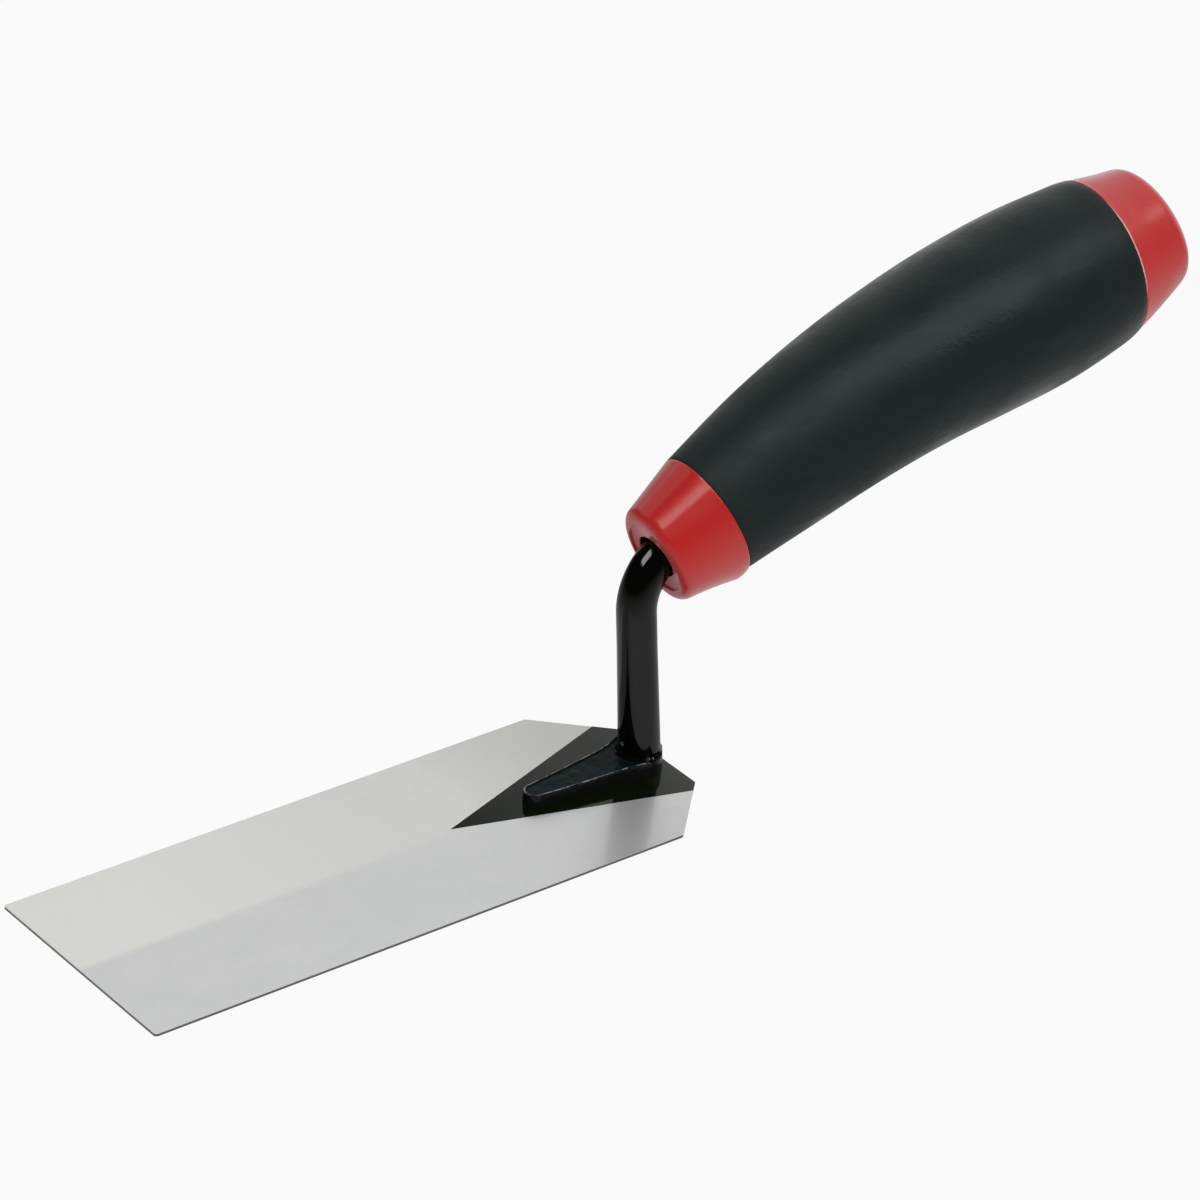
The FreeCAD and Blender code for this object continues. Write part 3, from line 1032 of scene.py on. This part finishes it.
def bore_rings():
    """The core's hole for the tang, from its closed end out to the recess in the collar's face."""
    face = Vector((FACE_X, 0, FACE_Z))
    back = shank_frame()[5]

    def bore(depth, radius):
        return circle_ring(face + back * depth, back, radius, OVAL_POINTS)

    def recess(depth, growth):
        return oval_ring(depth, RECESS_HALF_WIDTH + growth, RECESS_HALF_HEIGHT + growth)

    tang = SHANK_RADIUS + BORE_CLEARANCE
    end = TANG_LENGTH + BORE_END_GAP
    edge = RECESS_EDGE
    return [
        bore(end, 0.0),
        bore(end, tang),
        bore(MOUTH_DEPTH, tang),
        bore(MOUTH_DEPTH, MOUTH_RADIUS),
        bore(RECESS_DEPTH + edge, MOUTH_RADIUS),
        bore(RECESS_DEPTH + edge / 4, MOUTH_RADIUS + edge / 4),
        bore(RECESS_DEPTH, MOUTH_RADIUS + edge),
        recess(RECESS_DEPTH, -edge),
        recess(RECESS_DEPTH - edge / 4, -edge / 4),
        recess(RECESS_DEPTH - edge, 0.0),
        recess(edge / 2, 0.0),
        recess(0.0, edge / 2),
    ]


def collar_rings(edge_size):
    """The collar from its rounded face to the joint. edge_size is the half sizes at the joint."""
    slope = (edge_size[0] - COLLAR_FACE[0]) / COLLAR_LENGTH
    rim = rounded_end(COLLAR_FACE, slope, COLLAR_EDGE_RADIUS)
    rings = [oval_ring(*row) for row in rim]
    start = rim[-1][0]
    stop = COLLAR_LENGTH - JOINT_EDGE_RADIUS
    steps = 48
    for i in range(1, steps):
        d = start + (stop - start) * i / steps
        half_width = COLLAR_FACE[0] + slope * d
        half_height = COLLAR_FACE[1] + slope * d
        rings.append(oval_ring(d, half_width, half_height, collar_sag(d)))
    return rings + joint_edge(COLLAR_LENGTH, *edge_size, 1, GRIP_THICKNESS + COLLAR_STEP)


def spindle_rings():
    """The spindle that the grip sits on, without its two ends."""
    steps = 40
    length = POMMEL_START - COLLAR_LENGTH
    return [grip_ring(COLLAR_LENGTH + length * i / steps, GRIP_THICKNESS) for i in range(1, steps)]


def pommel_rings(edge_size):
    """The pommel from its joint edge to the middle of its end. d is the distance from that end."""
    length = SPINE_LENGTH - POMMEL_START
    slope = (edge_size[0] - POMMEL_END[0]) / length
    tall_slope = (edge_size[1] - POMMEL_END[1]) / length
    cap = rounded_end(POMMEL_END, slope, POMMEL_EDGE_RADIUS, steps=16)
    start = length - JOINT_EDGE_RADIUS
    stop = cap[-1][0]
    rings = []
    steps = 20
    for i in range(1, steps):
        d = start + (stop - start) * i / steps
        half_width = POMMEL_END[0] + slope * d
        half_height = POMMEL_END[1] + tall_slope * d
        tuck = pommel_tuck(SPINE_LENGTH - d)
        rings.append(oval_ring(SPINE_LENGTH - d, half_width, half_height, tuck))
    for d, half_width, half_height in reversed(cap):
        taller = (tall_slope - slope) * d
        rings.append(oval_ring(SPINE_LENGTH - d, half_width, half_height + taller))
    end_width, end_height = cap[0][1:]
    steps = 8
    for i in range(steps - 1, -1, -1):
        rings.append(oval_ring(SPINE_LENGTH, end_width * i / steps, end_height * i / steps))
    return rings


def make_core(material, joint_highlight, bore_shade):
    """Collar, spindle and pommel as one closed moulding.

    The pommel's edge has a pale line of painted highlight, and the bore is painted black with the
    shank's lacquer as painted shade.
    """
    first = GRIP_SECTIONS[0]
    last = GRIP_SECTIONS[-1]
    collar_edge = (first[1] + COLLAR_STEP, first[2] + COLLAR_STEP)
    pommel_edge = (last[1] + POMMEL_STEP, last[2] + POMMEL_STEP)
    rings = bore_rings() + collar_rings(collar_edge) + spindle_rings()
    highlight_start = len(rings) + 1
    rings += reversed(joint_edge(POMMEL_START, *pommel_edge, -1, GRIP_THICKNESS + POMMEL_STEP))
    highlight_stop = len(rings) - 1
    rings += pommel_rings(pommel_edge)
    points, faces = skin(rings)
    name = "handle_core"
    core = add_piece(name, points, faces, material, name, sharp_angle=35.0)
    core.data.materials.append(joint_highlight)
    core.data.materials.append(bore_shade)
    for face in core.data.polygons[highlight_start * OVAL_POINTS : highlight_stop * OVAL_POINTS]:
        face.material_index = 1
    # Painted shade: the mouth and the bore behind it are painted black.
    for face in core.data.polygons[: BORE_SHADE_ROWS * OVAL_POINTS]:
        face.material_index = 2
    return core


def make_grip(material):
    """The grip's sleeve: its outer skin, its two rounded ends and its inside on the spindle."""
    start = COLLAR_LENGTH + GRIP_GAP
    stop = POMMEL_START - GRIP_GAP
    edge = JOINT_EDGE_RADIUS / 2
    inside = GRIP_THICKNESS - GRIP_GAP
    rings = [grip_ring(start, edge), grip_ring(start + edge / 4, edge / 4)]
    steps = 110
    for i in range(steps + 1):
        d = start + edge + (stop - start - 2 * edge) * i / steps
        rings.append(grip_ring(d, grip_end_inset(d)))
    end = grip_end_inset(stop)
    rings.append(grip_ring(stop - edge / 4, end + edge / 4))
    rings.append(grip_ring(stop, end + edge))
    steps = 20
    for i in range(steps + 1):
        rings.append(grip_ring(stop + (start - stop) * i / steps, inside))
    points, faces = skin(rings, closed=True)
    name = "grip_sleeve"
    return add_piece(name, points, faces, material, name, sharp_angle=50.0)


# ------------------------ stage, light and camera


def make_floor():
    """A pale floor, mostly lit from within so that shadows on it stay faint."""
    material, tree, output = new_material("pale_floor")
    glow = add(tree, "Emission", Color=(1.0, 1.0, 1.0, 1), Strength=FLOOR_GLOW)
    card = add(tree, "BsdfDiffuse", Color=(0.8, 0.8, 0.8, 1))
    mix = add(tree, "MixShader", i0=0.05)
    tree.links.new(glow.outputs[0], mix.inputs[1])
    tree.links.new(card.outputs[0], mix.inputs[2])
    tree.links.new(mix.outputs[0], output.inputs["Surface"])
    mesh = bpy.data.meshes.new("floor")
    square = ((-1, -1), (1, -1), (1, 1), (-1, 1))
    corners = [(x * FLOOR_REACH, y * FLOOR_REACH, FLOOR_HEIGHT) for x, y in square]
    mesh.from_pydata(corners, [], [(0, 1, 2, 3)])
    mesh.materials.append(material)
    floor = bpy.data.objects.new("floor", mesh)
    bpy.context.scene.collection.objects.link(floor)
    # Gloss sees the darker table of make_world instead.
    floor.visible_glossy = False


def make_world():
    """A studio: a white wall behind on the right, a grey table below and a dark room elsewhere."""
    world = bpy.data.worlds.new("studio")
    world.use_nodes = True
    tree = world.node_tree
    tree.nodes.clear()
    way = add(tree, "TexCoord").outputs["Generated"]
    wall_level = spread(tree, alignment(tree, way, WALL_DIRECTION), 0.5, 0.8, 0.0, 1.0)
    table_level = spread(tree, along_axis(tree, way, "Z"), -0.75, -0.02, 0.68, 0.02)
    level = maths(tree, "MAXIMUM", wall_level, table_level)
    # Past the floor's edge the camera sees plain pale paper.
    seen = add(tree, "LightPath").outputs["Is Camera Ray"]
    level = maths(tree, "MAXIMUM", level, maths(tree, "MULTIPLY", seen, PAPER_GLOW))
    background = add(tree, "Background", Color=(1.0, 1.0, 1.0, 1), Strength=level)
    output = tree.nodes.new("ShaderNodeOutputWorld")
    tree.links.new(background.outputs[0], output.inputs["Surface"])
    bpy.context.scene.world = world


def add_panel(name, location, facing, along, size, brightness):
    """A rectangular light: size is its length and width, and brightness is its radiance.

    facing is the way it shines, and along is the direction of its length.
    """
    light = bpy.data.lights.new(name, "AREA")
    light.shape = "RECTANGLE"
    light.size, light.size_y = size
    light.energy = brightness * math.pi * size[0] * size[1]
    away = -Vector(facing).normalized()
    side = Vector(along)
    side = (side - away * side.dot(away)).normalized()
    turn = Matrix((side, away.cross(side), away)).transposed().to_4x4()
    lamp = bpy.data.objects.new(name, light)
    lamp.matrix_world = Matrix.Translation(location) @ turn
    bpy.context.scene.collection.objects.link(lamp)
    return lamp


def shine_only_on(lamp, pieces):
    """Lets a light reach only the given pieces."""
    lit = bpy.data.collections.new(lamp.name + "_reach")
    for piece in pieces:
        lit.objects.link(piece)
    lamp.light_linking.receiver_collection = lit


def make_fills():
    """Two soft fills that light without showing in any gloss."""
    fill = add_panel(
        "fill",
        location=(-0.6, -0.9, 1.3),
        facing=(0.7, 0.9, -1.27),
        along=(0.8, -0.6, 0.0),
        size=(1.6, 1.6),
        brightness=3.5,
    )
    right_fill = add_panel(
        "right_fill",
        location=(0.65, -0.50, 0.40),
        facing=(-0.46, 0.50, -0.33),
        along=(0.74, 0.67, 0.0),
        size=(0.5, 0.5),
        brightness=1.7,
    )
    for lamp in (fill, right_fill):
        lamp.visible_glossy = False


def make_highlights(blade, rod, handle):
    """Panels that show in the gloss of some pieces only."""
    strip = add_panel(
        "overhead_strip",
        location=(0.405, -0.613, 0.86),
        facing=(0, 0, -1),
        along=(0.928, -0.371, 0.0),
        size=(1.80, 0.70),
        brightness=3.1,
    )
    side = add_panel(
        "side_panel",
        location=(-0.49, 0.14, 0.61),
        facing=(0.69, -0.18, -0.70),
        along=(0.25, 0.97, 0.0),
        size=(0.40, 0.25),
        brightness=6.0,
    )
    # This card fills the blade as seen from behind.
    front = add_panel(
        "front_card",
        location=(-0.7, -1.3, 0.9),
        facing=(0.7, 1.3, -0.9),
        along=(0.88, -0.47, 0.0),
        size=(3.4, 1.6),
        brightness=0.85,
    )
    for lamp, pieces in ((strip, handle), (side, [rod]), (front, [blade])):
        lamp.visible_diffuse = False
        shine_only_on(lamp, pieces)


def make_left_card(handle):
    """A dim card that lifts the upper left of the handle."""
    left = add_panel(
        "left_card",
        location=(-0.35, 0.85, 0.82),
        facing=(0.35, -0.68, -0.62),
        along=(0.89, 0.46, 0.0),
        size=(1.1, 0.9),
        brightness=0.5,
    )
    shine_only_on(left, handle)


def make_camera():
    """The photograph's view: from the front left, thirty degrees down, through a long lens."""
    data = bpy.data.cameras.new("camera")
    data.sensor_width = CAMERA_SENSOR
    data.lens = CAMERA_LENS
    right = Vector(CAMERA_RIGHT)
    ahead = Vector(CAMERA_AHEAD)
    camera = bpy.data.objects.new("camera", data)
    turn = Matrix((right, right.cross(ahead), -ahead)).transposed().to_4x4()
    camera.matrix_world = Matrix.Translation(CAMERA_PLACE) @ turn
    bpy.context.scene.collection.objects.link(camera)
    bpy.context.scene.camera = camera


def paint_nuggets(material):
    """The hidden welds under the foot keep their CAD shape and only get a material."""
    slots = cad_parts["foot_weld_nuggets"].data.materials
    slots.clear()
    slots.append(material)


def main():
    """Builds all pieces, the stage and the camera."""
    black = shank_lacquer()
    blade = make_blade(ground_steel())
    make_heel_film(heel_lacquer())
    make_foot(foot_lacquer(), crest_highlight())
    rod = make_shank(black)
    make_bead(black)
    core = make_core(red_plastic(), joint_highlight_line(), black)
    grip = make_grip(soft_grip())
    weld = weld_steel()
    make_glinting_spatter(weld)
    paint_nuggets(weld)
    make_floor()
    make_world()
    make_fills()
    make_highlights(blade, rod, [core, grip])
    make_left_card([core, grip])
    make_camera()
    bpy.context.scene.view_settings.view_transform = "Standard"


main()
